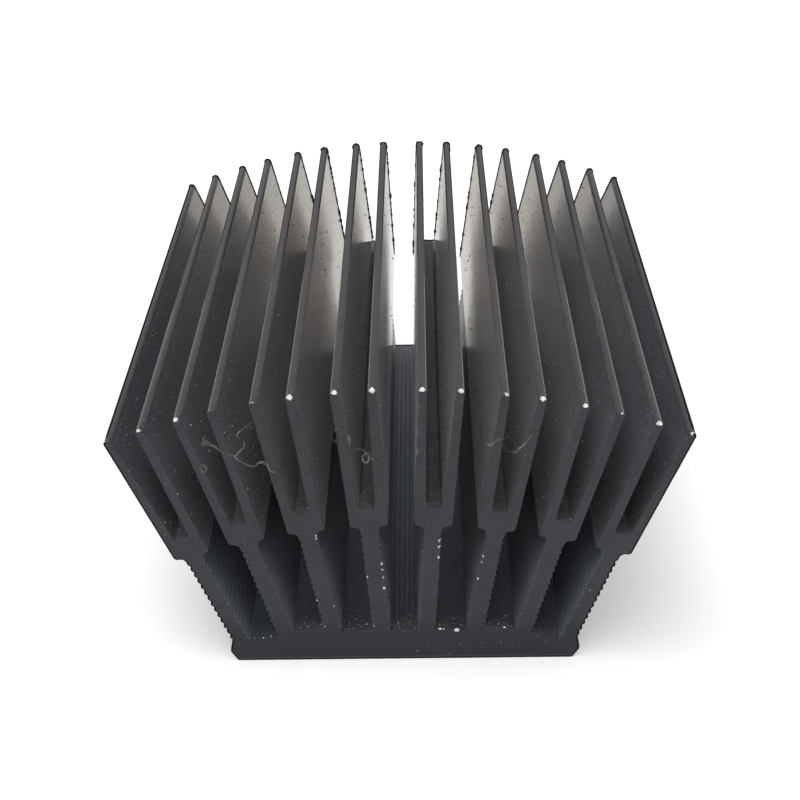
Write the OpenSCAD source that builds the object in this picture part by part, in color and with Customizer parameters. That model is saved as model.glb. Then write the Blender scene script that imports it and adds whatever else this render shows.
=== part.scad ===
// Forked-fin heat sink, extruded in one piece along Y and sawn to length.
// Z is up, the underside rests on Z = 0, X runs across the fins.

/* [Overall] */
// Sawn length along the fins
length = 70; // [30:1:200]
// Height of the crown that the fin tips reach
height = 44; // [38:0.2:50]
// Radius of the arched crown over the tips
crown_radius = 90; // [70:1:160]

/* [Base] */
// Width of the flat underside
flat_width = 44.8; // [43:0.1:46]
// Width across the rounded noses of the base
base_width = 46.6; // [46:0.1:48]
// Height of the widest line of the noses
nose_height = 1.85; // [1.4:0.05:2.3]
// Rounding of the noses
nose_radius = 1; // [0.5:0.05:1.4]
// Height of the neck under the outermost stems
neck_height = 3.9; // [3.4:0.1:4.4]
// Base thickness under the middle valley
middle_floor = 5.5; // [4.5:0.1:7]
// Base thickness under the first valley outwards
first_floor = 5.4; // [4.5:0.1:7]
// Base thickness under the second valley outwards
second_floor = 5.8; // [4.5:0.1:7]
// Base thickness under the outermost valley
outer_floor = 4.2; // [4:0.1:6]

/* [Fan of stems] */
// Distance between the two inner stems, at the underside
inner_spacing = 5.3; // [4.6:0.1:7]
// Distance from stem to stem outwards, at the underside
stem_pitch = 5.97; // [5.6:0.01:6]
// Lean of the inner stems from upright, in degrees
inner_lean = 3.2; // [2:0.1:5]
// Extra lean of each next stem outwards, in degrees
lean_step = 4.8; // [4.4:0.1:6]
// Stem thickness over the ribs
stem_thickness = 2.3; // [1.8:0.05:2.8]

/* [Ribs on the stems] */
// Distance from rib to rib
rib_pitch = 1.06; // [0.8:0.02:1.6]
// Depth of the round grooves between the ribs
rib_depth = 0.2; // [0.1:0.02:0.3]
// Width of the grooves between the ribs
rib_groove = 0.7; // [0.5:0.02:0.76]
// Plain stretch between a shoulder and its first groove
rib_gap = 1.6; // [1.2:0.1:3]

/* [Forks] */
// Height of the arch on which the fork shoulders lie
shoulder_height = 23.4; // [18:0.2:26]
// Radius of that arch
shoulder_radius = 78; // [60:1:140]
// Fork width just above the shoulder
fork_width = 4.75; // [4.2:0.05:5.2]
// Fork width over the tips
tip_spread = 5.35; // [4.8:0.05:5.8]
// Thickness of a prong at its rounded tip
tip_thickness = 1; // [0.7:0.05:1.3]
// Width of the slot at its floor
slot_width = 2.05; // [1.4:0.05:2.4]
// Solid part of the fork between shoulder and slot floor
fork_solid = 3; // [1.5:0.1:6]
// Rounding of the shoulder's outer corner
shoulder_round = 0.5; // [0.2:0.05:0.6]

/* [Small details] */
// Rounding of the slot's floor corners
slot_round = 0.4; // [0.2:0.05:0.65]
// Number of fine grooves along the middle valley floor
line_count = 5; // [1:1:6]
// Distance between those grooves
line_pitch = 0.7; // [0.3:0.02:0.72]
// Width of those grooves
line_width = 0.28; // [0.1:0.02:0.28]
// Depth of those grooves
line_depth = 0.05; // [0.04:0.01:0.14]

/* [Hidden] */
$fn = 16;
floors = [middle_floor, first_floor, second_floor, outer_floor];
last = len(floors) - 1;
arc_steps = 4;
// Where the arc of a nose starts and ends, and where that under a shoulder ends, in degrees
nose_from = -32;
nose_to = 12;
fillet_to = 95;
shoulder_fillet = (fork_width - stem_thickness) / 2 - shoulder_round;

// Radius of a round groove with this width and depth
function scoop(width, depth) = (width * width / 4 + depth * depth) / (2 * depth);

function root(i) = inner_spacing / 2 + i * stem_pitch;
function lean(i) = inner_lean + i * lean_step;

// How far up stem i a line at offset u runs before it meets an arch of this radius and top height
function reach(i, u, radius, top) =
    let (x = root(i) + u * cos(lean(i)))
    let (z = radius - top - u * sin(lean(i)))
    let (b = x * sin(lean(i)) + z * cos(lean(i)))
    sqrt(b * b - x * x - z * z + radius * radius) - b;

function shoulder(i) = reach(i, 0, shoulder_radius, shoulder_height);
function tip(i, side) = reach(i, side * (tip_spread - tip_thickness) / 2, crown_radius, height);

// Points of an arc around c
function arc(c, r, from, to, steps = arc_steps) =
    [for (k = [0:steps]) let (a = from + (to - from) * k / steps) c + r * [cos(a), sin(a)]];

// One flank of limb i from its root over the shoulder and the prong to the slot floor
function flank(i, side) =
    let (s = shoulder(i))
    let (t = tip(i, side) - tip_thickness / 2)
    concat(
        [[stem_thickness / 2, nose_height]],
        arc([stem_thickness / 2 + shoulder_fillet, s - shoulder_fillet], shoulder_fillet, 180, fillet_to),
        arc([fork_width / 2 - shoulder_round, s + shoulder_round], shoulder_round, -90, 0),
        arc([(tip_spread - tip_thickness) / 2, t], tip_thickness / 2, 0, 180, 2 * arc_steps),
        arc([slot_width / 2 - slot_round, s + fork_solid + slot_round], slot_round, 0, -90)
    );

// The other flank, walked back down on the inner side of the limb
function back(points) = [for (k = [len(points) - 1:-1:0]) [-points[k].x, points[k].y]];

// Stem i with its fork, ribbed on both faces and leaning outwards from its place on the base
module limb(i) {
    top = shoulder(i) - rib_gap;
    radius = scoop(rib_groove, rib_depth);
    translate([root(i), 0])
        rotate(-lean(i))
            difference() {
                polygon(concat(flank(i, 1), back(flank(i, -1))));
                for (side = [-1, 1])
                    for (v = [top:-rib_pitch:neck_height])
                        translate([side * (stem_thickness / 2 + radius - rib_depth), v])
                            circle(r = radius);
            }
}

// Floor of the valley inside stem i, from that stem back to the one before it
function valley_floor(i) =
    let (a = (lean(i) + lean(i - 1)) / 2)
    let (outer = root(i) + floors[i] * tan(lean(i)))
    let (inner = root(i - 1) + floors[i] * tan(lean(i - 1)))
    let (drop = (outer - inner) / 2 * tan(a))
    [[outer, floors[i] - drop], [inner, floors[i] + drop]];

// Right half of the base, its top a floor square to each valley
module base_half() {
    nose = [base_width / 2 - nose_radius, nose_height];
    neck = root(last) + neck_height * tan(lean(last)) + (stem_thickness - rib_depth) / 2 / cos(lean(last));
    polygon(concat(
        [[0, 0], [flat_width / 2, 0]],
        arc(nose, nose_radius, nose_from, nose_to),
        [[neck, neck_height], [root(last) + outer_floor * tan(lean(last)), outer_floor]],
        [for (i = [last:-1:1]) each valley_floor(i)],
        [[root(0), middle_floor], [0, middle_floor]]
    ));
}

// Fine grooves along the middle valley floor, as far as it is open between the stems
module floor_lines() {
    radius = scoop(line_width, line_depth);
    wall = root(0) + middle_floor * tan(lean(0)) - stem_thickness / 2 / cos(lean(0));
    intersection() {
        for (k = [0:line_count - 1])
            translate([(k - (line_count - 1) / 2) * line_pitch, middle_floor + radius - line_depth])
                circle(r = radius);
        translate([-wall, 0])
            square([2 * wall, height]);
    }
}

module section() {
    difference() {
        for (m = [0, 1])
            mirror([m, 0]) {
                base_half();
                for (i = [0:last])
                    limb(i);
            }
        floor_lines();
    }
}

module heat_sink() {
    color([0.13, 0.13, 0.14])
        rotate([90, 0, 0])
            linear_extrude(height = length, center = true)
                section();
}

heat_sink();
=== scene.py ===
# %% [markdown]
# # A forked-fin heat sink in black anodised aluminium
#
# The real thing is one length of extruded aluminium: a flat base, eight ribbed stems that fan
# outwards and a two-pronged fork on each stem, so sixteen thin fins under one arched crown. It was
# sawn off square at both ends, tumbled a little and dyed black. This lesson rebuilds its looks
# around the solid model: first the frame and the camera, then light, finishes, the metal itself,
# its saw marks and chips, and last the dust that has settled on it.

# %% Load the solid model
import math
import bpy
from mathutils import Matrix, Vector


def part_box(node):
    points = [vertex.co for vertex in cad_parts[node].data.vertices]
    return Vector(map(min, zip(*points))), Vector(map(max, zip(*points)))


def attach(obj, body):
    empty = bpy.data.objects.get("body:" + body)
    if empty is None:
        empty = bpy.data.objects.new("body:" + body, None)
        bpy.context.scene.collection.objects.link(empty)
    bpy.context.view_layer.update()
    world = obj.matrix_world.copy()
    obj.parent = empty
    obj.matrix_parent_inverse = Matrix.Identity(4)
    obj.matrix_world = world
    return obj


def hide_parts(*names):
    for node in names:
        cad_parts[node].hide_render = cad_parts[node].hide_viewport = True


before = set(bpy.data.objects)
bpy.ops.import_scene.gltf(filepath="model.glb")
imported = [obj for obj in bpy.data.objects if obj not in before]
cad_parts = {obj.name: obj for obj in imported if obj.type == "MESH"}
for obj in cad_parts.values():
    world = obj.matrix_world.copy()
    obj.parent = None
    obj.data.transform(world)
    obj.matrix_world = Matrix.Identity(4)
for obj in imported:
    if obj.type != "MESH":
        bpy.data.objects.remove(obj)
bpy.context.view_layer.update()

from types import SimpleNamespace

import bmesh
import bpy
import numpy as np
from mathutils import Matrix, Vector
from mathutils.bvhtree import BVHTree
from mathutils.geometry import delaunay_2d_cdt

MM = 0.001
solid_low, solid_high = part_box("heat_sink")
length = (solid_high.y - solid_low.y) / MM
front = -length / 2
print(f"solid model: {(solid_high.x - solid_low.x) / MM:.2f} x {length:.2f} x {solid_high.z / MM:.2f} mm")

# %% [markdown]
# ## The camera
#
# The picture was taken from just in front of the heat sink and well above it, with a fairly long
# lens. A camera can be dragged into place by eye, but here its place was worked out once from the
# sixteen fin tips, so it is written as a position, three angles and a focal length. Everything that
# is later placed by a spot in the picture goes through the same camera.

# %% Place the camera
PICTURE = 800
camera_place = Vector((3.14, -153.35, 125.40)) * MM
looks_right = math.radians(-1.37)
looks_down = math.radians(35.0)
roll = math.radians(-1.62)
focal_length = 56.55
sensor_width = 36.0

turn = Matrix.Rotation(-looks_right, 3, "Z") @ Matrix.Rotation(math.pi / 2 - looks_down, 3, "X")
turn = turn @ Matrix.Rotation(roll, 3, "Z")
lens = bpy.data.cameras.new("camera")
lens.lens = focal_length
lens.sensor_width = sensor_width
lens.clip_start = 1 * MM
camera = bpy.data.objects.new("camera", lens)
camera.matrix_world = Matrix.Translation(camera_place) @ turn.to_4x4()
bpy.context.scene.collection.objects.link(camera)
bpy.context.scene.camera = camera


def sight(column, row):
    """Direction from the camera through one pixel of the 800 x 800 picture."""
    pixel = sensor_width / focal_length / PICTURE
    aim = Vector(((column - PICTURE / 2) * pixel, (PICTURE / 2 - row) * pixel, -1))
    return (turn @ aim).normalized()


def on_front_face(column, row):
    """Where that sight line meets the front saw cut, as millimetres across and up."""
    way = sight(column, row)
    steps = (front * MM - camera_place.y) / way.y
    place = camera_place + way * steps
    return place.x / MM, place.z / MM


crown_spot = (423, 390)
print("camera looks down", round(math.degrees(looks_down), 1), "degrees")
print("crown of the front face, in mm across and up:", on_front_face(*crown_spot))

# %% [markdown]
# ## Shader maths as Python
#
# A finish is a small network of nodes. Dragging wires is fine for one of them, but a few lines of
# arithmetic are easier to read and to change. This class wraps the output of a node. Adding or
# multiplying two of them makes the Math node, and one method makes every other kind of node.

# %% A wire that can be added and multiplied
# The Mix node's sockets for colours come after those for numbers and vectors
FIRST_COLOUR, SECOND_COLOUR, MIXED_COLOUR = 6, 7, 2


class Wire:
    """One output in a node tree. Sums and products of wires become Math nodes."""

    def __init__(self, tree, socket=None):
        self.tree = tree
        self.socket = socket

    def node(self, kind, settings=None, inputs=None, output=0):
        """Make a node: its settings first, then the values or wires that go into it."""
        made = self.tree.nodes.new(kind)
        for name, value in (settings or {}).items():
            setattr(made, name, value)
        for name, value in (inputs or {}).items():
            if isinstance(value, Wire):
                self.tree.links.new(value.socket, made.inputs[name])
            else:
                made.inputs[name].default_value = value
        return Wire(self.tree, made.outputs[output])

    def math(self, operation, *values):
        return self.node("ShaderNodeMath", {"operation": operation}, dict(enumerate(values)))

    def __add__(self, other):
        return self.math("ADD", self, other)

    __radd__ = __add__

    def __sub__(self, other):
        return self.math("SUBTRACT", self, other)

    def __rsub__(self, other):
        return self.math("SUBTRACT", other, self)

    def __mul__(self, other):
        return self.math("MULTIPLY", self, other)

    __rmul__ = __mul__


def between(wire, low, high):
    """0 below low, 1 above high and a soft step from one to the other."""
    ends = {"Value": wire, "From Min": low, "From Max": high}
    return wire.node("ShaderNodeMapRange", {"interpolation_type": "SMOOTHSTEP"}, ends)


def between_mm(wire, low, high):
    """The same soft step along a distance, with its two ends in millimetres."""
    return between(wire, low * MM, high * MM)


def mix_colour(share, first, second):
    """A colour that is first where share is 0 and second where it is 1."""
    colours = [c if isinstance(c, Wire) else (*c, 1) for c in (first, second)]
    ends = {0: share, FIRST_COLOUR: colours[0], SECOND_COLOUR: colours[1]}
    return share.node("ShaderNodeMix", {"data_type": "RGBA"}, ends, output=MIXED_COLOUR)


def layered(colour, layers):
    """A colour with further ones laid over it in turn, each by its own share."""
    for share, coat in layers:
        colour = mix_colour(share, colour, coat)
    return colour


def new_finish(name):
    """An empty material with its main shader, ready for wires."""
    material = bpy.data.materials.new(name)
    material.use_nodes = True
    shader = material.node_tree.nodes["Principled BSDF"]
    return material, Wire(material.node_tree), shader


def plug(tree, shader, **wires):
    """Join wires to the shader's inputs; an underscore in a name stands for a space."""
    for name, wire in wires.items():
        tree.links.new(wire.socket, shader.inputs[name.replace("_", " ")])


print("shader helpers ready")

# %% [markdown]
# ## Table, room and lamp
#
# The heat sink stands on a white table under one large soft lamp, a little to its left, in a room
# that is white low down and dimmer overhead. The table looks white because it is lit, so it could
# simply be given more light, but that would also grey the black metal. Instead part of its white is
# a glow that only the camera and mirror-like reflections can see. The other part is ordinary paint,
# which takes the soft shadow. Reflections see less of the glow just in front of the sawn face,
# where a real table lies in the shade of the part, so the face darkens towards its foot.

# %% The white table
painted = 0.90
glow = 0.32
mirrored_glow = 0.21
table_half = 4.0
shade_far, shade_near = -0.105, -0.036


def is_ray(wire, kind):
    return wire.node("ShaderNodeLightPath", output=f"Is {kind} Ray")


def white_table():
    material, wire, shader = new_finish("white_table")
    shader.inputs["Base Color"].default_value = (painted, painted, painted, 1)
    shader.inputs["Roughness"].default_value = 1.0
    shader.inputs["Specular IOR Level"].default_value = 0.0
    shader.inputs["Emission Strength"].default_value = 1.0
    place = wire.node("ShaderNodeNewGeometry", output="Position")
    along = wire.node("ShaderNodeSeparateXYZ", inputs={0: place}, output="Y")
    shade = between(along, shade_far, shade_near) - between(along, shade_near, 0)
    mirrored = (is_ray(wire, "Glossy") + is_ray(wire, "Transmission")) * (1 - shade)
    own_light = is_ray(wire, "Camera") * glow + mirrored * mirrored_glow
    plug(wire.tree, shader, Emission_Color=own_light)
    return material


table = bpy.data.meshes.new("table")
corners = [(-table_half, -table_half, 0), (table_half, -table_half, 0), (table_half, table_half, 0)]
table.from_pydata(corners + [(-table_half, table_half, 0)], [], [(0, 1, 2, 3)])
table.materials.append(white_table())
floor = bpy.data.objects.new("table", table)
bpy.context.scene.collection.objects.link(floor)
print("table", 2 * table_half, "metres square")

# %% The room and the lamp
ceiling = 0.34
near_wall = 0.45
wall_near, wall_far = -0.5, 0.3
wall_top, ceiling_start = 0.12, 0.50
lamp_power = 10.0
lamp_place = Vector((-0.12, -0.13, 1.20))
lamp_aim = Vector((0, 0, 0.02))
lamp_across, lamp_along = 0.9, 0.6

world = bpy.data.worlds.new("white_room")
world.use_nodes = True
bpy.context.scene.world = world
backdrop = world.node_tree.nodes["Background"]
backdrop.inputs["Color"].default_value = (1, 1, 1, 1)
room = Wire(world.node_tree)
way = room.node("ShaderNodeTexCoord", output="Generated")
rise = room.node("ShaderNodeSeparateXYZ", inputs={0: way}, output="Z")
depth = room.node("ShaderNodeSeparateXYZ", inputs={0: way}, output="Y")
wall = near_wall + (1 - near_wall) * between(depth, wall_near, wall_far)
overhead = between(rise, wall_top, ceiling_start)
level = wall * (1 - overhead) + ceiling * overhead
world.node_tree.links.new(level.socket, backdrop.inputs["Strength"])

lamp = bpy.data.lights.new("soft_lamp", "AREA")
lamp.energy = lamp_power
lamp.shape = "RECTANGLE"
lamp.size = lamp_across
lamp.size_y = lamp_along
soft_lamp = bpy.data.objects.new("soft_lamp", lamp)
soft_lamp.location = lamp_place
soft_lamp.rotation_euler = (lamp_aim - lamp_place).to_track_quat("-Z", "Y").to_euler()
bpy.context.scene.collection.objects.link(soft_lamp)
bpy.context.scene.view_settings.view_transform = "Standard"
print("lamp", round(lamp_place.length, 2), "metres away, in a room of level", ceiling, "overhead")

# %% [markdown]
# ## Black anodised skin
#
# Anodising turns the surface into a thin, hard, glassy oxide that holds black dye. Straight on it
# looks dull and almost black; at a glancing angle it mirrors whatever lies beyond, slightly warm.
# A plain black plastic would do for a toy, but the oxide's higher index of refraction is what gives
# the fins their silvery rear ends. The press leaves fine streaks along the whole length, and the
# etch before dyeing leaves a fine grain and a few pits, so each of these is a texture of its own.
# The fins are seen almost edge on, where a round speck would shrink to nothing. So a texture takes
# three counts of cells to the millimetre, across, along and up, and its cells are longest upwards.

# %% Textures shared by the black finishes
oxide_metal = 0.25
haze_spread = 0.5
haze_tint = (0.94, 0.92, 1.0)
# The bare metal of chips and nicks, also used for painted glints and a painted highlight line
bare_and_glint_metal = (0.90, 0.90, 0.91)
bare_and_glint_from, bare_and_glint_to = 0.35, 0.65
dust_and_highlight_grey = (0.24, 0.23, 0.215)
edge_and_shadow_black = (0.010, 0.010, 0.011)
matt_black = {"Base Color": (*edge_and_shadow_black, 1), "Roughness": 0.9, "Specular IOR Level": 0.12}
spot_core = 0.6
bump_distance = 0.012


def stretched(wire, across, along, up):
    """The place on the object in cells: so many to a millimetre across, along and up."""
    place = wire.node("ShaderNodeTexCoord", output="Object")
    cells = (across / MM, along / MM, up / MM)
    return wire.node("ShaderNodeVectorMath", {"operation": "MULTIPLY"}, {0: place, 1: cells})


def noise(wire, across, along, up, detail=2.0):
    settings = {"Vector": stretched(wire, across, along, up), "Scale": 1.0, "Detail": detail}
    return wire.node("ShaderNodeTexNoise", inputs=settings)


def spots(wire, across, along, up, radius, share):
    """Small spots of many strengths: that share of the cells has one, and radius is a part of a cell."""
    settings = {"Vector": stretched(wire, across, along, up), "Scale": 1.0}
    cell = wire.node("ShaderNodeTexVoronoi", inputs=settings)
    tint = Wire(wire.tree, cell.socket.node.outputs["Color"])
    chance = wire.node("ShaderNodeSeparateColor", inputs={0: tint})
    strength = between(chance, 1 - share, 1)
    return (1 - between(cell, radius * spot_core, radius)) * strength


def place_on(wire, axis):
    """How far along one axis of the object a point lies, in metres."""
    place = wire.node("ShaderNodeTexCoord", output="Object")
    return wire.node("ShaderNodeSeparateXYZ", inputs={0: place}, output=axis)


def painted_on(wire, name):
    """A value stored on the mesh's points, such as how dusty it is there, or how much bare metal and
    painted glint it shows.
    """
    return wire.node("ShaderNodeAttribute", {"attribute_name": name}, output="Fac")


def bare_and_glint_share(wire):
    return between(painted_on(wire, "bare_and_glint"), bare_and_glint_from, bare_and_glint_to)


def bumped(wire, strength, height):
    settings = {"Strength": strength, "Distance": bump_distance * MM, "Height": height}
    return wire.node("ShaderNodeBump", inputs=settings)


def oxide(name, index, mirror_tint, haze):
    """The settings that both black finishes share."""
    material, wire, shader = new_finish(name)
    shader.inputs["IOR"].default_value = index
    shader.inputs["Specular Tint"].default_value = (*mirror_tint, 1)
    shader.inputs["Sheen Weight"].default_value = haze
    shader.inputs["Sheen Roughness"].default_value = haze_spread
    shader.inputs["Sheen Tint"].default_value = (*haze_tint, 1)
    return material, wire, shader


print("black finishes: share of metal", oxide_metal)

# %% Streaks, grain, pits and dust
grain_from, grain_to = 0.50, 0.70
clump_from, clump_to = 0.50, 0.64
thin_dust = 0.2


def skin_patterns(wire):
    """What the press, the etch and settling dust have left on the skin, by name."""
    made = SimpleNamespace()
    made.streaks = noise(wire, across=5.0, along=0.03, up=5.0, detail=3.0)
    made.broad_streaks = noise(wire, across=1.6, along=0.012, up=1.6)
    made.clouds = noise(wire, across=0.16, along=0.09, up=0.16, detail=3.0)
    made.mottle = noise(wire, across=2.6, along=1.8, up=0.9)
    made.grain = between(noise(wire, across=3.4, along=2.2, up=1.0), grain_from, grain_to)
    made.specks = spots(wire, across=2.4, along=1.7, up=0.75, radius=0.19, share=0.70)
    made.pits = spots(wire, across=0.5, along=0.5, up=0.33, radius=0.14, share=0.25)
    clumps = between(noise(wire, across=4.5, along=4.5, up=4.5, detail=3.0), clump_from, clump_to)
    made.dusty = painted_on(wire, "dust") * (thin_dust + (1 - thin_dust) * clumps)
    return made


print("skin patterns ready")

# %% [markdown]
# ## Where the skin changes
#
# The same skin looks different from place to place. A pale film lies low down between the stems
# and on the outer fins, with more of it on the floors towards the rear: partly fine dust, partly
# painted fill light that lifts these dark places. The forks near the middle are browner above their
# shoulders. Painted shade darkens the ridge tops, most towards the rear, the front of the floors and
# the foot of the slot walls. Pits show on the rear walls, and the dye has gone dull towards the front,
# so only the rear mirrors the table. All this could be painted by hand onto a picture, but then it
# would be tied to that picture. Here each of them is a share from 0 to 1 that is worked out from the
# place on the object in millimetres, or that the mesh carries on its points.

# %% Shares of film, stain and wear
up_from, up_to = 0.4, 0.8
# A pale film low down, on the outer fins and on the floors: partly dust, partly painted fill light
film_full, film_none = 14, 28
film_outside, film_near, film_far = 0.12, 12, 30
low_outside, low_near, low_far = 0.18, 8, 20
floor_film, floor_film_rear = 0.26, 0.75
floor_from, floor_to = -34, 0
floor_shade, shade_from, shade_to = 0.60, -35, -26
brown_share = 0.90
brown_near, brown_far = 11, 22
brown_low, brown_high = 17, 24
cloud_from, cloud_to = 0.35, 0.60
ridge_shade_front, ridge_shade_rear = 0.55, 0.85
pit_from, pit_to = 0, 28
dull_from, dull_to = -5, 30
dull_left, dull_right = -6, 14
outer_near, outer_far = 4, 30


def skin_shares(wire, pattern):
    """How much film and painted fill light, brown tint, wear, painted shade and so on there is at a place,
    each from 0 to 1.
    """
    share = SimpleNamespace(bare_and_glint=bare_and_glint_share(wire))
    for name in ("worn", "grime", "sheltered"):
        setattr(share, name, painted_on(wire, name))
    side_way, length_way, height_up = (place_on(wire, axis) for axis in "XYZ")
    facing = wire.node("ShaderNodeNewGeometry", output="Normal")
    facing_up = between(wire.node("ShaderNodeSeparateXYZ", inputs={0: facing}, output="Z"), up_from, up_to)
    from_middle = side_way.math("ABSOLUTE", side_way)
    low_down = 1 - between_mm(height_up, film_full, film_none)
    on_floor = low_down * facing_up
    share.to_rear = between_mm(length_way, dull_from, dull_to)
    share.to_right = between_mm(side_way, dull_left, dull_right)
    share.to_outside = between_mm(from_middle, outer_near, outer_far)

    # Pale film: partly dust, partly painted fill light that lifts the dark low places
    floor_part = floor_film + (floor_film_rear - floor_film) * between_mm(length_way, floor_from, floor_to)
    film = low_down * (1 - facing_up) * painted_on(wire, "silt_and_fill") + on_floor * floor_part
    film = film + low_down * between_mm(from_middle, low_near, low_far) * low_outside
    film = film + between_mm(from_middle, film_near, film_far) * film_outside
    share.film = film * share.sheltered * (1 - share.worn)
    # Painted shade on the front of the floors
    share.shade = on_floor * (1 - between_mm(length_way, shade_from, shade_to)) * floor_shade
    # Browner near the middle, above the shoulders
    near_middle = 1 - between_mm(from_middle, brown_near, brown_far)
    stained = near_middle * between(pattern.clouds, cloud_from, cloud_to)
    share.stained = stained * between_mm(height_up, brown_low, brown_high) * brown_share * (1 - facing_up)
    share.pits = pattern.pits * between_mm(length_way, pit_from, pit_to) * (1 - facing_up) * (1 - low_down)
    # Painted shade: the ridge tops darker, more towards the rear
    share.rubbed = share.worn * (ridge_shade_front + (ridge_shade_rear - ridge_shade_front) * share.to_rear)
    return share


print("film lies up to", film_none, "mm high, stain starts at", brown_low, "mm")

# %% [markdown]
# ## Colour and gloss
#
# The dye is nearly even: two blacks that drift into each other along the streaks. A brown tint, the
# pale film with its painted fill light, specks, painted shade on the front of the floors, low in the
# slots and on the ridge tops, pits, dust, and bare metal with its painted glints are then laid over
# it in turn, bare metal last, so that a chip shows through all of them. Gloss could be one number, but
# then every fin would mirror alike. Instead it is a sum of small amounts of roughness: most for pits
# and dust, and the least towards the rear.

# %% Colour and gloss of the skin
dye_dark = (0.038, 0.040, 0.050)
dye_light = (0.062, 0.063, 0.073)
# Painted shade colours: for the ridge tops, low on the slot walls (shared with the pits), on the front of
# the floors
ridge_top_shade_black = (0.010, 0.012, 0.020)
pit_and_shade_black = (0.015, 0.014, 0.013)
floor_shade_black = (0.010, 0.015, 0.020)
# Colour of the pale film: partly dust, partly painted fill light
film_grey = (0.200, 0.240, 0.300)
middle_brown = (0.098, 0.066, 0.027)
speck_grey = (0.34, 0.335, 0.34)
grain_share, speck_share, slot_shade_share = 0.26, 0.90, 0.75
streak_tone, cloud_tone = 0.5, 0.6
tone_from, tone_to = 0.40, 0.75
smoothest, streak_rough, broad_rough, mottle_rough = 0.085, 0.07, 0.05, 0.08
outside_rough, right_rough, front_rough, flank_rough = 0.05, 0.055, 0.14, 0.20
worn_rough, pit_rough, dust_rough, bare_and_glint_rough = 0.14, 0.55, 0.35, 0.28
slot_shade_gloss = 0.18


def skin_colour(pattern, share):
    tone = between(pattern.broad_streaks * streak_tone + pattern.clouds * cloud_tone, tone_from, tone_to)
    speckled = (pattern.grain * grain_share + pattern.specks * speck_share) * share.sheltered
    layers = [(share.stained, middle_brown), (share.film, film_grey), (speckled, speck_grey)]
    # Painted shade: on the front of the floors, low on the slot walls and on the ridge tops
    layers += [(share.shade, floor_shade_black), (share.grime * slot_shade_share, pit_and_shade_black)]
    layers += [(share.rubbed, ridge_top_shade_black), (share.pits, pit_and_shade_black)]
    layers += [(pattern.dusty, dust_and_highlight_grey), (share.bare_and_glint, bare_and_glint_metal)]
    return layered(mix_colour(tone, dye_dark, dye_light), layers)


def skin_roughness(pattern, share):
    rough = smoothest + streak_rough * (pattern.streaks - 0.5) * share.to_rear
    rough = rough + broad_rough * pattern.broad_streaks + mottle_rough * pattern.mottle
    rough = rough + outside_rough * share.to_outside - slot_shade_gloss * share.grime
    rough = rough + front_rough * (1 - share.to_rear) + right_rough * share.to_right
    rough = rough + flank_rough * (1 - share.sheltered) + worn_rough * share.worn
    return rough + pit_rough * share.pits + dust_rough * pattern.dusty + bare_and_glint_rough * share.bare_and_glint


print("dye from", dye_dark, "to", dye_light)

# %% The whole skin
skin_index = 1.66
skin_tint = (1.0, 0.87, 0.66)
skin_haze = 0.15
streak_height, pit_depth, dust_height = 0.4, 1.5, 0.8
skin_bump = 0.30


def anodised_skin():
    """The skin, with matt black lines of painted shade mixed in where the mesh says so."""
    material, wire, shader = oxide("anodised_skin", skin_index, skin_tint, skin_haze)
    pattern = skin_patterns(wire)
    share = skin_shares(wire, pattern)
    colour = skin_colour(pattern, share)
    rough = skin_roughness(pattern, share)
    metal = oxide_metal * (1 - share.pits) * (1 - share.worn) + (1 - oxide_metal) * share.bare_and_glint
    relief = streak_height * pattern.streaks * share.to_rear - pit_depth * share.pits
    bump = bumped(wire, skin_bump, relief + dust_height * pattern.dusty)
    plug(wire.tree, shader, Base_Color=colour, Roughness=rough, Metallic=metal, Normal=bump)
    skin = Wire(wire.tree, shader.outputs[0])
    shadow = wire.node("ShaderNodeBsdfPrincipled", inputs=matt_black)
    whole = wire.node("ShaderNodeMixShader", inputs={0: painted_on(wire, "ridge_side_shade"), 1: skin, 2: shadow})
    wire.tree.links.new(whole.socket, wire.tree.nodes["Material Output"].inputs["Surface"])
    return material


print("anodised skin ready, index of refraction", skin_index)

# %% [markdown]
# ## The sawn ends
#
# The saw leaves the two end faces flatter and more even than the pressed skin. They were dyed in
# the same bath, but their fine scratches scatter the light, so they look a little paler and duller.
# The saw lines could be modelled, but they are far finer than the camera sees, so they are a bump.
# Towards its foot the face is painted darker as shade, and at its very foot it ends in a painted
# black shadow line with a painted pale highlight line over it.

# %% The finish of the sawn ends
sawn_index = 1.5
sawn_tint = (0.94, 0.96, 1.0)
sawn_haze = 0.0
sawn_bump = 0.35
sawn_dark = (0.0200, 0.0200, 0.0260)
sawn_light = (0.0450, 0.0440, 0.0520)
line_tone, patch_tone = 0.8, 0.3
sawn_from, sawn_to = 0.40, 0.70
# Painted shade towards the foot and a painted black shadow line at the very foot, with a painted pale
# highlight line over it
foot_shade_dark = (0.0105, 0.0140, 0.0195)
foot_shade_share, foot_shade_top, foot_shade_fade = 0.80, 4, 10
contact_shadow_from, contact_shadow_to = 0.26, 0.38
pale_highlight_share = 0.25
pale_start, pale_full, pale_fade, pale_end = 0.32, 0.42, 0.46, 0.60
sawn_specks = 0.5
sawn_rough, line_rough, patch_rough, foot_rough = 0.44, 0.10, 0.06, 0.5


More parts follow.
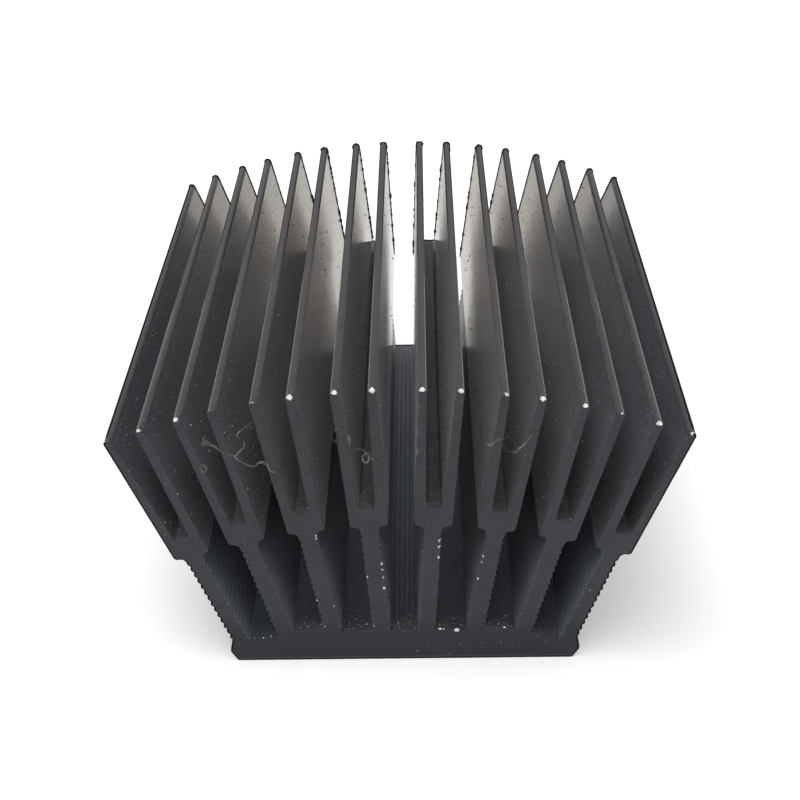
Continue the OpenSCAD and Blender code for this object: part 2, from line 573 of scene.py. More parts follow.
def sawn_end():
    material, wire, shader = oxide("sawn_end", sawn_index, sawn_tint, sawn_haze)
    saw_lines = noise(wire, across=4.6, along=4.6, up=4.6)
    clouds = noise(wire, across=0.22, along=0.22, up=0.22, detail=3.0)
    specks = spots(wire, across=1.5, along=1.5, up=1.5, radius=0.10, share=0.50)
    bare_and_glint = bare_and_glint_share(wire)
    height_up = place_on(wire, "Z")
    # Painted shade: darker towards the foot; at the very foot a black shadow line with a pale highlight
    # line over it
    low_down = 1 - between_mm(height_up, foot_shade_top, foot_shade_fade)
    contact_shadow_line = 1 - between_mm(height_up, contact_shadow_from, contact_shadow_to)
    over_pale = between_mm(height_up, pale_fade, pale_end)
    pale_highlight_line = between_mm(height_up, pale_start, pale_full) * (1 - over_pale)

    tone = between(saw_lines * line_tone + clouds * patch_tone, sawn_from, sawn_to)
    layers = [(low_down * foot_shade_share, foot_shade_dark), (specks * sawn_specks, dust_and_highlight_grey)]
    layers += [(pale_highlight_line * pale_highlight_share, dust_and_highlight_grey), (contact_shadow_line, edge_and_shadow_black), (bare_and_glint, bare_and_glint_metal)]
    colour = layered(mix_colour(tone, sawn_dark, sawn_light), layers)
    rough = sawn_rough + line_rough * saw_lines + patch_rough * clouds + foot_rough * contact_shadow_line
    bump = bumped(wire, sawn_bump, saw_lines)
    plug(wire.tree, shader, Base_Color=colour, Roughness=rough, Metallic=bare_and_glint, Normal=bump)
    return material


print("sawn ends ready, index of refraction", sawn_index)

# %% [markdown]
# ## Burrs and broken edges
#
# Where the saw broke out, a thin torn rim is left, and it soaked up more dye than the smooth skin. It
# has hardly any gloss, so it stays black where the face beside it mirrors the white table. A plain
# matt black is enough: these rims are only a tenth or two of a millimetre wide. The same matt black
# also draws a painted shade line along the top of the outermost fin on each side.

# %% The black of burrs and broken edges
def broken_edge_and_shade():
    material, _, shader = new_finish("broken_edge_and_shade")
    for name, value in matt_black.items():
        shader.inputs[name].default_value = value
    return material


print("broken edges ready")

# %% [markdown]
# ## The section
#
# Every extrusion is one drawing pulled out straight. The drawing here is a base with rounded noses
# and, on each side, four stems that lean out by a steady step. Each stem carries rows of round
# grooves and ends in a shoulder and a fork. One limb is written down in its own upright frame and
# then leaned into place, so the eight limbs share a dozen sizes. The sizes are in millimetres and
# agree with the solid model.

# %% Sizes of the section, in millimetres
height, crown_radius = 44.0, 90.0
flat_width, base_width = 44.8, 46.6
nose_height, nose_radius, neck_height = 1.85, 1.0, 3.9
floors = [5.5, 5.4, 5.8, 4.2]
inner_spacing, stem_pitch = 5.3, 5.97
inner_lean, lean_step = 3.2, 4.8
stem_thickness = 2.3
rib_pitch, rib_depth, rib_groove, rib_gap = 1.06, 0.2, 0.7, 1.6
shoulder_height, shoulder_radius, shoulder_round = 23.4, 78.0, 0.5
fork_width, tip_spread, tip_thickness = 4.75, 5.35, 1.0
slot_width, slot_round, fork_solid = 2.05, 0.4, 3.0
line_count, line_pitch, line_width, line_depth = 5, 0.7, 0.28, 0.05
limbs = range(len(floors))
outermost = len(floors) - 1
shoulder_fillet = (fork_width - stem_thickness) / 2 - shoulder_round


def scoop(width, depth):
    """Radius of a round groove, and half the angle that it opens to, in degrees."""
    radius = (width**2 / 4 + depth**2) / (2 * depth)
    return radius, math.degrees(math.asin(width / 2 / radius))


def root(limb):
    return inner_spacing / 2 + limb * stem_pitch


def lean(limb):
    return math.radians(inner_lean + limb * lean_step)


def reach(limb, offset, radius, top):
    """How far up a limb a line at this offset runs before it meets an arch of that radius."""
    a = lean(limb)
    x = root(limb) + offset * math.cos(a)
    z = radius - top - offset * math.sin(a)
    b = x * math.sin(a) + z * math.cos(a)
    return math.sqrt(b * b - x * x - z * z + radius * radius) - b


def shoulder(limb):
    return reach(limb, 0, shoulder_radius, shoulder_height)


def tip_centre(limb, side):
    """Centre of the rounded end of one prong, in the limb's own frame."""
    offset = side * (tip_spread - tip_thickness) / 2
    return offset, reach(limb, offset, crown_radius, height) - tip_thickness / 2


def leaned(limb, point):
    """A point of the limb's own frame, leaned into its place in the section."""
    across, up = point
    a = lean(limb)
    return root(limb) + up * math.sin(a) + across * math.cos(a), up * math.cos(a) - across * math.sin(a)


print("shoulders at", [round(shoulder(limb), 2) for limb in limbs], "mm up their stems")

# %% [markdown]
# ## Walking round one limb
#
# One side of a limb runs from the root of its stem over the ribs and the shoulder, round the tip of
# the prong and down into the slot. It could be drawn by hand as a curve, but a list of points follows
# every change of a size, and each point can carry the name of its feature: the finish later needs to
# know what is a tip, a slot or a floor. Round stretches are arcs with enough steps to look smooth.
# The flank of a stem starts below the floor and is cut where the floor is.

# %% Outline of a limb
groove_steps, bend_steps, tip_steps = 6, 5, 16
fillet_end = 95


def arc(centre, radius, start, end, steps):
    turns = np.radians(np.linspace(start, end, steps + 1))
    return [(centre[0] + radius * math.cos(t), centre[1] + radius * math.sin(t)) for t in turns]


def named(points, feature):
    return [(point, feature) for point in points]


def flank(limb, side):
    """One side of a limb from its root over the shoulder and the prong to the slot floor."""
    face = stem_thickness / 2
    ridge = shoulder(limb)
    radius, opening = scoop(rib_groove, rib_depth)
    walk = named([(face, nose_height)], "stem")
    grooves = np.arange(ridge - rib_gap, neck_height, -rib_pitch)[::-1]
    for up in grooves:
        centre = (face + radius - rib_depth, up)
        walk += named(arc(centre, radius, 180 + opening, 180 - opening, groove_steps), "stem")
    hollow = (face + shoulder_fillet, ridge - shoulder_fillet)
    walk += named(arc(hollow, shoulder_fillet, 180, fillet_end, bend_steps), "shoulder")
    corner = (fork_width / 2 - shoulder_round, ridge + shoulder_round)
    walk += named(arc(corner, shoulder_round, -90, 0, bend_steps), "fin")
    centre = tip_centre(limb, side)
    rounded = arc((abs(centre[0]), centre[1]), tip_thickness / 2, 0, 180, tip_steps)
    walk += named(rounded, "tip")
    corner = (slot_width / 2 - slot_round, ridge + fork_solid + slot_round)
    walk += named(arc(corner, slot_round, 0, -90, bend_steps), "slot")
    return [(leaned(limb, (side * across, up)), feature) for (across, up), feature in walk]


def cut_at(walk, start, end):
    """What stands above the line from start to end of a walk that comes down to it."""
    line = np.subtract(end, start)
    upward = np.array((-line[1], line[0])) * np.sign(line[0])
    over = [float(np.subtract(point, start) @ upward) for point, _ in walk]
    last = next(k for k, rise in enumerate(over) if rise < 0)
    share = over[last - 1] / (over[last - 1] - over[last])
    meeting = np.array(walk[last - 1][0]) * (1 - share) + np.array(walk[last][0]) * share
    return walk[:last] + [(tuple(meeting), "floor")]


print("points on one side of the inner limb:", len(flank(0, 1)))

# %% [markdown]
# ## The whole outline
#
# The right half is walked from the middle of the underside round the nose, up and down each limb
# and over the floors between them. The left half is its mirror image. A Mirror modifier would do the
# same to a finished mesh, but the chips and nicks differ from side to side, so the outline is made
# whole first. Long straight stretches are then divided, so that the edges can be roughened later; the
# floors are divided more finely, because the smallest nicks sit on their edges.

# %% Outline of the section
longest_stretch = 0.4
longest_on_floor = 0.16
nose_from, nose_to, nose_steps = -32, 12, 4
tiny = 1e-9


def valley_floor(limb):
    """Ends of the floor between a limb and the one inside it, square to the valley."""
    middle = (lean(limb) + lean(limb - 1)) / 2
    outer = root(limb) + floors[limb] * math.tan(lean(limb))
    inner = root(limb - 1) + floors[limb] * math.tan(lean(limb - 1))
    drop = (outer - inner) / 2 * math.tan(middle)
    return (outer, floors[limb] - drop), (inner, floors[limb] + drop)


def fine_lines():
    """Half of the middle floor, with the fine grooves along it."""
    radius, opening = scoop(line_width, line_depth)
    walk = []
    for place in range(line_count // 2, -1, -1):
        centre = (place * line_pitch, floors[0] + radius - line_depth)
        walk += arc(centre, radius, 270 + opening, 270 - opening, groove_steps)
    return named([point for point in walk if point[0] > -tiny], "line")


def right_half():
    nose = (base_width / 2 - nose_radius, nose_height)
    nose_walk = arc(nose, nose_radius, nose_from, nose_to, nose_steps)
    waist = stem_thickness / 2 - rib_depth / 2
    a = lean(outermost)
    neck = (root(outermost) + neck_height * math.tan(a) + waist / math.cos(a), neck_height)
    walk = named([(0, 0), (flat_width / 2, 0)], "under") + named(nose_walk, "nose")
    lines = [(nose_walk[-1], neck)] + [valley_floor(limb) for limb in range(outermost, 0, -1)]
    lines += [((root(0), floors[0]), (0, floors[0]))]
    for limb, outside, inside in zip(reversed(limbs), lines, lines[1:]):
        walk += cut_at(flank(limb, 1)[::-1], *outside)[::-1]
        walk += cut_at(flank(limb, -1)[::-1], *inside)
    return walk + fine_lines()


def divided(walk):
    """The same closed walk with no stretch longer than the limit."""
    full = []
    for (point, feature), (after, _) in zip(walk, walk[1:] + walk[:1]):
        limit = longest_on_floor if feature == "floor" else longest_stretch
        parts = max(1, math.ceil(math.dist(point, after) / limit))
        ends = np.array(point), np.array(after)
        full += [(tuple(ends[0] + (ends[1] - ends[0]) * k / parts), feature) for k in range(parts)]
    return full


half_walk = right_half()
backwards = zip(half_walk[-2:0:-1], half_walk[-3::-1])
other_half = [((-point[0], point[1]), feature) for (point, _), (_, feature) in backwards]
outline = divided(half_walk + other_half)
section = np.array([point for point, _ in outline])
features = np.array([feature for _, feature in outline])
wide, tall = np.ptp(section, axis=0)
print(f"section: {len(section)} points, {wide:.2f} x {tall:.2f} mm")

# %% [markdown]
# ## Pulling the section out
#
# One Extrude from end to end would do for a perfect part. Here the section is repeated at stations
# along the length, close together at the two ends, where the saw has left a slightly broken, uneven
# edge, and far apart in between, where nothing changes. The front station is drawn in by a few
# hundredths of a millimetre, more in some places than in others, so its edges catch a thin, broken
# line of light as the real ones do; only the floors and slots end in a clean edge. Down the two
# outermost flanks the front edge is broken further, which leaves a dark line round the part. The saw
# came out at the rear, so that edge carries a thin lip of burr that stands out from the fins as a dark
# rim against their shine, ragged on the fins near the middle. The front face stands back by the
# thickness of a hair, so that the lint that lies on it later still keeps inside the solid model's box.

# %% Stations and edges
hair = 0.06
front_steps = np.array([0.0, 0.06, 0.16, 0.3, 0.46, 0.66, 0.95, 1.5, 3.0])
rear_steps = np.array([0.0, 0.16, 0.3, 0.46, 3.0])
middle_steps = np.array([6.0, 11.0, 18.0, 26.0])
edge_break, edge_unevenness = 0.035, 0.035
second_share = 0.4
outer_break, break_reach = 0.2, 0.05
outer_offset, outward_least = 0.8, 0.2
lip_height, lip_unevenness = 0.09, 0.03
lip_reach, rim_reach = 0.2, 0.5
ragged_burr, ragged_share = 0.16, 0.35
ragged_width = 15.0
luck_seed = 5
luck = np.random.RandomState(luck_seed)

face_place = front + hair
from_front = np.concatenate([hair + front_steps, middle_steps, [length / 2], length - middle_steps[::-1]])
from_front = np.concatenate([from_front, length - rear_steps[::-1]])
ahead = np.roll(section, -1, axis=0) - section
behind = section - np.roll(section, 1, axis=0)
across_turn = behind[:, 0] * ahead[:, 1] - behind[:, 1] * ahead[:, 0]
turned = np.degrees(np.arctan2(across_turn, (behind * ahead).sum(axis=1)))
inward = np.stack([-(ahead + behind)[:, 1], (ahead + behind)[:, 0]], axis=1)
inward /= np.linalg.norm(inward, axis=1)[:, None]
finned = np.isin(features, ("tip", "fin"))
ragged = finned & (np.abs(section[:, 0]) < ragged_width) & (luck.rand(len(section)) < ragged_share)
burrs = (lip_height + lip_unevenness * luck.rand(len(section))) * finned
burrs += ragged_burr * luck.rand(len(section)) * ragged
clean_cut = np.isin(features, ("floor", "slot", "line"))
from_axis = np.abs(section[:, 0]) - root(outermost) - section[:, 1] * math.tan(lean(outermost))
outward = -inward[:, 0] * np.sign(section[:, 0])
wide_break = outer_break * ((from_axis > outer_offset) & (outward > outward_least))


def ring(distance):
    """One station: the section, drawn in at the front end and flared by the burr at the rear."""
    depth = np.zeros(len(section))
    if distance == from_front[0]:
        depth += (edge_break + edge_unevenness * luck.rand(len(section))) * ~clean_cut
    if distance == from_front[1]:
        depth += edge_unevenness * second_share * luck.rand(len(section)) * ~clean_cut
    depth += wide_break * max(0, 1 - (distance - hair) / break_reach)
    if distance > length - lip_reach:
        depth -= burrs
    across = np.clip(section + inward * depth[:, None], section.min(axis=0), section.max(axis=0))
    return np.column_stack([across[:, 0], np.full(len(section), front + distance), across[:, 1]])


rings = [ring(distance) for distance in from_front]
print(len(rings), "stations of", len(section), "points")

# %% [markdown]
# ## Closing the ends
#
# An end face could be one polygon of thousands of corners. Triangles made by a Delaunay filling are
# tidier, and extra points near the fin tips and along damaged edges give the chips and nicks there
# something to be cut from. The nicks are listed first, by the spot in the picture where each of them
# shines and by its size in millimetres: the sight line through that spot meets the front face, and
# the nearest point of the outline is where the nick is.

# %% Where the nicks are
nick_spots = [
    (457, 631.5, 0.42), (440, 630, 0.24), (444, 630.5, 0.16), (504, 630, 0.20), (440, 541, 0.26),
    (439.5, 547, 0.28), (438.5, 558.5, 0.24), (381, 564, 0.20), (382.2, 570, 0.16), (383.2, 578, 0.18),
    (383.5, 589, 0.26), (317.5, 536, 0.20), (318, 540, 0.18), (483.5, 557, 0.22), (481, 563, 0.16),
    (477, 580, 0.24), (369.5, 627.5, 0.26), (324.5, 627, 0.16), (262.5, 637, 0.14), (363.5, 578, 0.18),
    (335.5, 607.5, 0.16), (271, 636, 0.14), (312, 600, 0.12),
]


def nearest_on_outline(column, row):
    away = np.linalg.norm(section - on_front_face(column, row), axis=1)
    return int(np.argmin(away))


nicks = [(nearest_on_outline(column, row), size) for column, row, size in nick_spots]
print("nicks at", [tuple(section[place].round(1)) for place, _ in nicks])

# %% Points inside the tips and behind the nicks
tip_grid, tip_depth = 0.13, 1.1
edge_room = 0.6
half_columns = 3
nick_rows = (0.11, 0.25, 0.45)
point_room = 0.06
count = len(section)

tips = []
for limb in limbs:
    for side in (-1, 1):
        place = leaned(limb, tip_centre(limb, side))
        tips += [(place, lean(limb)), ((-place[0], place[1]), -lean(limb))]
tips.sort()


def tip_points(place, slant):
    """Grid points inside one rounded fin tip, clear of its outline."""
    inside = []
    room = tip_thickness / 2 - tip_grid * edge_room
    for u in np.arange(-room, room + tiny, room / half_columns):
        for v in np.arange(-tip_depth, room, tip_grid):
            if v < 0 or math.hypot(u, v) < room:
                inside.append((place[0] + u * math.cos(slant) + v * math.sin(slant),
                               place[1] + v * math.cos(slant) - u * math.sin(slant)))
    return inside


def nick_points(place, size):
    """Rows of points inside the outline behind one nick, wide enough to keep it small."""
    near = np.flatnonzero(np.linalg.norm(section - section[place], axis=1) < size + nick_rows[-1])
    return [tuple(section[k] + inward[k] * row) for row in nick_rows for k in near]


def clear_of_others(candidates):
    """The candidates that keep some room from the outline and from one another."""
    kept = np.array(rings[0][:, [0, 2]])
    for point in candidates:
        if np.min(np.linalg.norm(kept - point, axis=1)) > point_room:
            kept = np.vstack([kept, point])
    return [tuple(point) for point in kept[count:]]


inner = [point for tip in tips for point in tip_points(*tip)]
inner = clear_of_others(inner + [point for nick in nicks for point in nick_points(*nick)])
print("extra points on the front face:", len(inner))

# %% Fill the end faces
only_inside = 1
same_point = 1e-7


def filled(edge, extra):
    """Triangles inside a closed edge, with corners at the extra points too."""
    corners = [Vector(p) for p in edge] + [Vector(p) for p in extra]
    border = [(k, (k + 1) % len(edge)) for k in range(len(edge))]
    _, _, triangles, came_from, _, _ = delaunay_2d_cdt(corners, border, [], only_inside, same_point)
    origin = [sources[0] for sources in came_from]
    return [[origin[k] for k in triangle] for triangle in triangles]


front_fill = filled(rings[0][:, [0, 2]], inner)
rear_fill = filled(rings[-1][:, [0, 2]], [])
print("end faces:", len(front_fill), "and", len(rear_fill), "triangles")

# %% Join the stations and the ends
around = np.arange(count)
onward = np.roll(around, -1)
last_ring = (len(rings) - 1) * count
inner_start = len(rings) * count
points = np.vstack(rings + [np.array([(x, face_place, z) for x, z in inner])])

faces = []
for station in range(len(rings) - 1):
    near, far = station * count, (station + 1) * count
    faces += np.column_stack([near + around, far + around, far + onward, near + onward]).tolist()
skin_faces = len(faces)
faces += [[k if k < count else k - count + inner_start for k in face] for face in front_fill]
faces += [[k + last_ring for k in face[::-1]] for face in rear_fill]
print("faces:", len(faces), "of which skin", skin_faces)

# %% [markdown]
# ## Chipped tips
#
# Almost every fin has lost a crumb of metal at the front corner of its tip, and the bare aluminium
# shines white there. A white spot could be painted on, but a real chip is a small hollow that
# catches the light from other sides too. So points that stand outside a scooped cut are pushed back
# onto it, and the same points are marked as bare for the finish. The chips follow the photograph
# from the far left tip to the far right one: how far each reaches back, how far it sits to the right
# of the ridge, how broad its scoop is and how bright the metal is in it. One tip has none.

# %% Cut the chips
chips = [
    (0.34, -0.5, 0.15, 1.0), (0.28, 0.0, 0.60, 1.0), (0.42, 0.0, 0.26, 1.0), None,
    (0.20, 0.0, 1.50, 0.52), (0.54, 0.1, 0.30, 1.0), (0.48, 0.1, 0.30, 1.0), (0.54, 0.1, 0.30, 1.0),
    (0.46, -0.1, 0.45, 0.9), (0.46, 0.2, 0.45, 0.9), (0.42, 0.2, 0.30, 0.56), (0.50, 0.0, 0.32, 1.0),
    (0.46, -0.1, 0.26, 1.0), (0.30, 0.1, 0.25, 0.55), (0.44, -0.1, 0.70, 1.0), (0.36, -0.3, 0.20, 1.0),
]
chip_roughness = 0.05
chip_turn, chip_reach, bare_depth = 0.6, 1.5, 0.03
bare_and_glint = np.zeros(len(points))


def cut_chip(place, slant, reach_back, sideways, breadth, shine):
    """Push the points round one front tip corner back onto a scooped cut and mark them bare."""
    up = np.array((math.sin(slant), 0, math.cos(slant)))
    across = np.array((math.cos(slant), 0, -math.sin(slant)))
    out = across * sideways * chip_turn + up - np.array((0, 1, 0))
    out = out / np.linalg.norm(out)
    edge = np.array((place[0], face_place, place[1])) + (up + across * sideways) * tip_thickness / 2
    depth = reach_back / math.sqrt(2)
    offset = points - edge
    beside = offset @ across
    proud = offset @ out + depth - beside**2 / (2 * breadth) - chip_roughness * luck.rand(len(points))
    close = (np.linalg.norm(offset, axis=1) < chip_reach) & (proud > 0)
    points[close] -= np.outer(proud[close], out)
    bare_and_glint[close] = shine * np.minimum(1, proud[close] / bare_depth)
    return int(close.sum())


print("points moved by each chip:", [cut_chip(*tip, *chip) for tip, chip in zip(tips, chips) if chip])

# %% [markdown]
# ## Nicks along the front edges
#
# Smaller bright nicks sit on the front edges of some ribs and floors. White dots in the finish would
# do from afar, but a nick is a dent, and it breaks the line of the edge. So the points around it are
# pushed back into the metal, most at its middle, and marked as bare. One front edge near the middle
# has no dent but carries a painted highlight over a long stretch. It is only marked as bare, faintly
# and unevenly.

# %% Cut the nicks
nick_depth, nick_inward, nick_rings = 0.14, 0.7, 4
nick_shine, nick_fade = 0.3, 1.2
# A painted highlight along one front edge, given as faint, uneven bare metal
rubbed_edge = [(416.5, 372), (416, 463)]
rubbed_shine, rubbed_least, rubbed_most = 0.43, 0.8, 1.1
rubbed_rings = 2
near_front = np.concatenate([np.arange(nick_rings * count), np.arange(inner_start, len(points))])


def cut_nick(place, size):
    middle = points[place].copy()
    away = np.linalg.norm(points[near_front] - middle, axis=1)
    hit = near_front[away < size]
    fade = 1 - away[away < size] / size
    points[hit, 1] += nick_depth * fade
    points[hit[:, None], [0, 2]] += inward[place] * (nick_depth * nick_inward * fade)[:, None]
    bare_and_glint[hit] = np.maximum(bare_and_glint[hit], np.minimum(1, nick_shine + nick_fade * fade))
    return len(hit)


first, last = sorted(nearest_on_outline(*spot) for spot in rubbed_edge)
for station in range(rubbed_rings):
    edge = station * count + np.arange(first, last)
    shine = rubbed_shine * luck.uniform(rubbed_least, rubbed_most, last - first)
    bare_and_glint[edge] = np.maximum(bare_and_glint[edge], shine)

print("points moved by each nick:", [cut_nick(*nick) for nick in nicks])

# %% [markdown]
# ## Dust in the slots
#
# Fine grey dust has settled on the slot floors and along the front of the valley floors. It could be
# strewn as grains, but the finest of it has no shape that the eye could see, so it belongs to the
# finish. Dust rests where the metal faces up, and those stretches are found from their direction. A
# second value on the points says how thickly it lies: most on the slot floors near the front, and
# fading within a few millimetres. The finish breaks it up into grains. A third value marks the
# rounded fin tips, which are rubbed and so duller, and which are also painted darker as shade. A
# fourth is how much pale film, partly dust and partly painted fill light, the ribbed stems hold and
# how much the plain faces do, and a fifth is painted shade, black, low on the walls of the slots.

# %% Mark where dust lies, where the skin is worn and where shade is painted
lies_flat = 0.6
slot_level = 18.0
slot_fade, floor_fade = 9.0, 3.0
slot_dust, floor_dust = 0.24, 0.05
dust_creep = 0.8
clean_stations = 3
rib_silt_and_fill, face_silt_and_fill = 0.50, 0.42
slot_shade_rise = 9.0
tip_round = 0.51


def on_all_points(values, inside=0.0):
    """A value for every mesh point, from those of the outline at one station or at each of them."""
    full = np.full(len(points), inside)
    full[:inner_start] = np.broadcast_to(values, (len(rings), count)).ravel()
    return full


faces_up = (-inward[:, 1] > lies_flat) & np.isin(features, ("slot", "floor", "line"))
resting = np.flatnonzero(faces_up)
in_slot = section[:, 1] > slot_level
to_floor = np.linalg.norm(section[:, None] - section[None, resting], axis=2).min(axis=1)
settled = np.clip(1 - to_floor / dust_creep, 0, 1) * np.where(in_slot, slot_dust, floor_dust)
fades_over = np.where(in_slot, slot_fade, floor_fade)
thickness = settled * np.clip(1 - from_front[:, None] / fades_over, 0, 1)
thickness[:clean_stations] = 0
dust = on_all_points(thickness)

to_tips = np.array([np.linalg.norm(section - place, axis=1) for place, _ in tips])
to_tip = to_tips.min(axis=0)
on_tip = to_tip < tip_thickness * tip_round
# The fin tips: rubbed and duller, and painted darker as shade
worn = on_all_points(on_tip)
# Pale film on stems and plain faces: partly dust, partly painted fill light
silt_and_fill = on_all_points(np.where(features == "stem", rib_silt_and_fill, face_silt_and_fill))
# Painted shade: black low on the walls of the slots, near their floors
grime = on_all_points(np.clip(1 - to_floor / slot_shade_rise, 0, 1) * in_slot * (features == "tip"))
print("dusty points:", int((dust > 0).sum()), "worn points:", int(worn.sum()))

# %% [markdown]
# ## Lines beside the ridges
#
# Towards the rear a thin black line of painted shade runs along both sides of every bright ridge,
# where the rounded top rolls over into the wall. Towards the front it is lost, and there the side that
# faces away from the middle carries a painted glint instead, given as bare metal. Thin strips of
# another finish would do, but they would stop at a station with a hard step. So both are values on
# the points, and they fade into each other along the fin. They are found from how far the outline
# faces sideways as the camera sees it. A last value says how sheltered a place is: hands wipe the two
# open flanks, so less film and fewer specks stay there.

# %% Mark the lines and the open flanks
line_start, line_full = 0.66, 0.80
line_near, line_far = 42.0, 20.0
glint_from, glint_to, glint_shine = 0.72, 0.99, 0.43
open_flank = 0.3

toward = np.arctan2(camera_place.x / MM - section[:, 0], camera_place.z / MM - section[:, 1])
sideways = inward[:, 1] * np.sin(toward) - inward[:, 0] * np.cos(toward)
# Painted shade: black lines beside the ridges towards the rear, where the camera sees their sides
to_line = np.clip((line_near - (length - from_front)) / (line_near - line_far), 0, 1)[:, None]
rolled_over = np.clip((np.abs(sideways) - line_start) / (line_full - line_start), 0, 1)
ridge_side_shade = on_all_points(to_line * on_tip * rolled_over)

# A painted glint on the outer side of each ridge towards the front, given as bare metal
outer_side = sideways * np.sign(section[:, 0])
glint = on_tip * (outer_side > glint_from) * (outer_side < glint_to) * glint_shine
bare_and_glint = np.maximum(bare_and_glint, on_all_points(glint * (1 - to_line)))
on_flank = (from_axis > outer_offset) & (outward > 0)
sheltered = on_all_points(np.where(on_flank, open_flank, 1), inside=1.0)
print("lined points:", int((ridge_side_shade > 0).sum()), "glinting stretches:", int((glint > 0).sum()))

# %% [markdown]
# ## The metal
#
# Points and faces become one mesh with three finishes: the skin, the two sawn ends, and the black of
# the burrs, of the broken edges and of a painted shade line along the outermost fin on each side.
# Three objects would be as easy to colour, but one piece of metal should come out as one closed mesh.
# Faces shade smoothly round the tips and grooves and break where the outline turns sharply, so the
# sharp edges are marked from the angle at each point of the section.

# %% Make the mesh
ON_END, ON_BREAK_AND_SHADE = 1, 2
outer_shade_line_start = 0.45
chip_clear = 0.8

mesh = bpy.data.meshes.new("finned_extrusion")
mesh.from_pydata((points * MM).tolist(), [], faces)
for material in (anodised_skin(), sawn_end(), broken_edge_and_shade()):
    mesh.materials.append(material)

ridge = on_tip & np.roll(on_tip, -1)
seen_at = (sideways + np.roll(sideways, -1)) / 2
last_but_one = tips[-2][0][0]
on_last_fin = np.abs(section[:, 0]) > last_but_one + tip_thickness
# Painted shade line along the top of the outermost fin on each side, where the camera sees its side
outer_shade_line = ridge & on_last_fin & (np.abs(seen_at) > outer_shade_line_start) & (seen_at * section[:, 0] > 0)
slots = np.zeros(len(faces), dtype=np.int32)
slots[skin_faces:] = ON_END
strips = slots[:skin_faces].reshape(-1, count)
starts = from_front[:-1]
strips[starts > length - rim_reach] = ON_BREAK_AND_SHADE
strips[np.ix_(starts < hair + break_reach, wide_break > 0)] = ON_BREAK_AND_SHADE
strips[np.ix_(starts > chip_clear, outer_shade_line)] = ON_BREAK_AND_SHADE
mesh.polygons.foreach_set("material_index", slots)
mesh.polygons.foreach_set("use_smooth", np.ones(len(faces), dtype=bool))
print("faces of skin, ends and broken edges:", np.bincount(slots).tolist())

# %% Sharp edges and the values on the points
sharp_turn = 28.0

ends = np.zeros(len(mesh.edges) * 2, dtype=np.int32)
mesh.edges.foreach_get("vertices", ends)
ends = ends.reshape(-1, 2)
on_skin = (ends < inner_start).all(axis=1)
along = on_skin & (ends[:, 0] % count == ends[:, 1] % count)
cap_rings = (ends < count).all(axis=1) | ((ends >= last_ring) & (ends < inner_start)).all(axis=1)
neighbours = np.isin((ends[:, 0] - ends[:, 1]) % count, (1, count - 1))
sharp = (along & (np.abs(turned[ends[:, 0] % count]) > sharp_turn)) | (cap_rings & neighbours)
mesh.attributes.new("sharp_edge", "BOOLEAN", "EDGE").data.foreach_set("value", sharp)
painted_values = {"bare_and_glint": bare_and_glint, "dust": dust, "worn": worn, "silt_and_fill": silt_and_fill, "grime": grime}
painted_values.update({"ridge_side_shade": ridge_side_shade, "sheltered": sheltered})
for name, values in painted_values.items():
    mesh.attributes.new(name, "FLOAT", "POINT").data.foreach_set("value", values.astype(np.float32))
mesh.update()
print("sharp edges:", int(sharp.sum()), "values on each point:", list(painted_values))

# %% [markdown]
# ## Bending the shading
#
# A rounded tip would shade like a tube, but the real ones look flat on top, with quick round corners,
# and the real ribs are softer than their grooves would shade. The shape stays the solid model's. Only
# the directions that the mesh shades by are bent: those of a tip towards the lean of its fin, and
# those of a ribbed wall between the stems most of the way back to the plain wall. Every other corner
# keeps its own direction, which a direction of no length stands for.

# %% Shading directions of ridges and ribs
flat_top = math.radians(50)
quarter_turn = math.pi / 2
rib_contrast = 0.25


def pointing(angles):
    """Directions in the plane of the section, from angles off the upright."""
    return np.column_stack([np.sin(angles), np.zeros(len(angles)), np.cos(angles)])


def faces_at(stations, stretches):
    """Numbers of the skin's faces on the chosen stretches behind the chosen stations."""
    return np.add.outer(np.flatnonzero(stations) * count, np.flatnonzero(stretches)).ravel()


facing = np.arctan2(-inward[:, 0], -inward[:, 1])
upright = np.array([slant for _, slant in tips])[to_tips.argmin(axis=0)]
bend = facing - upright
past_top = np.maximum(0, np.abs(bend) - flat_top) / (quarter_turn - flat_top)
shaded = pointing(upright + np.sign(bend) * past_top * quarter_turn)

limb_slants = np.array([side * lean(limb) for limb in limbs for side in (-1, 1)])
limb_roots = np.array([side * root(limb) for limb in limbs for side in (-1, 1)])
offsets = (section[:, :1] - limb_roots) * np.cos(limb_slants) - section[:, 1:] * np.sin(limb_slants)
limb_near = np.argmin(np.abs(offsets), axis=1)
plain = limb_slants[limb_near] + np.sign(offsets[around, limb_near]) * quarter_turn
swing = (facing - plain + math.pi) % (2 * math.pi) - math.pi
walls = (features == "stem") & ~(from_axis > 0)
on_wall = walls | np.roll(walls, 1)
shaded[on_wall] = pointing(plain + rib_contrast * swing)[on_wall]

unharmed = (starts > chip_clear) & (from_front[1:] < length - lip_reach)
chosen = np.concatenate([faces_at(unharmed, ridge), faces_at(starts > hair + break_reach, walls)])
face_corners = (around, around, onward, onward)
corner_normals = np.zeros((len(mesh.loops), 3))
for corner, point in enumerate(face_corners):
    corner_normals[len(face_corners) * chosen + corner] = shaded[point[chosen % count]]
mesh.normals_split_custom_set(corner_normals.tolist())
print("faces with bent shading:", len(chosen))

# %% [markdown]
# ## In the solid's place
#
# The finished mesh could be laid over the solid model's piece, but two skins in one place flicker. So
# it stands for that piece, in the same frame, and rides on the one body.

# %% Place the metal
extrusion = bpy.data.objects.new("finned_extrusion", mesh)
bpy.context.scene.collection.objects.link(extrusion)
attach(extrusion, "root")
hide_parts("heat_sink")
print("finned extrusion:", len(mesh.vertices), "points,", len(mesh.polygons), "faces")

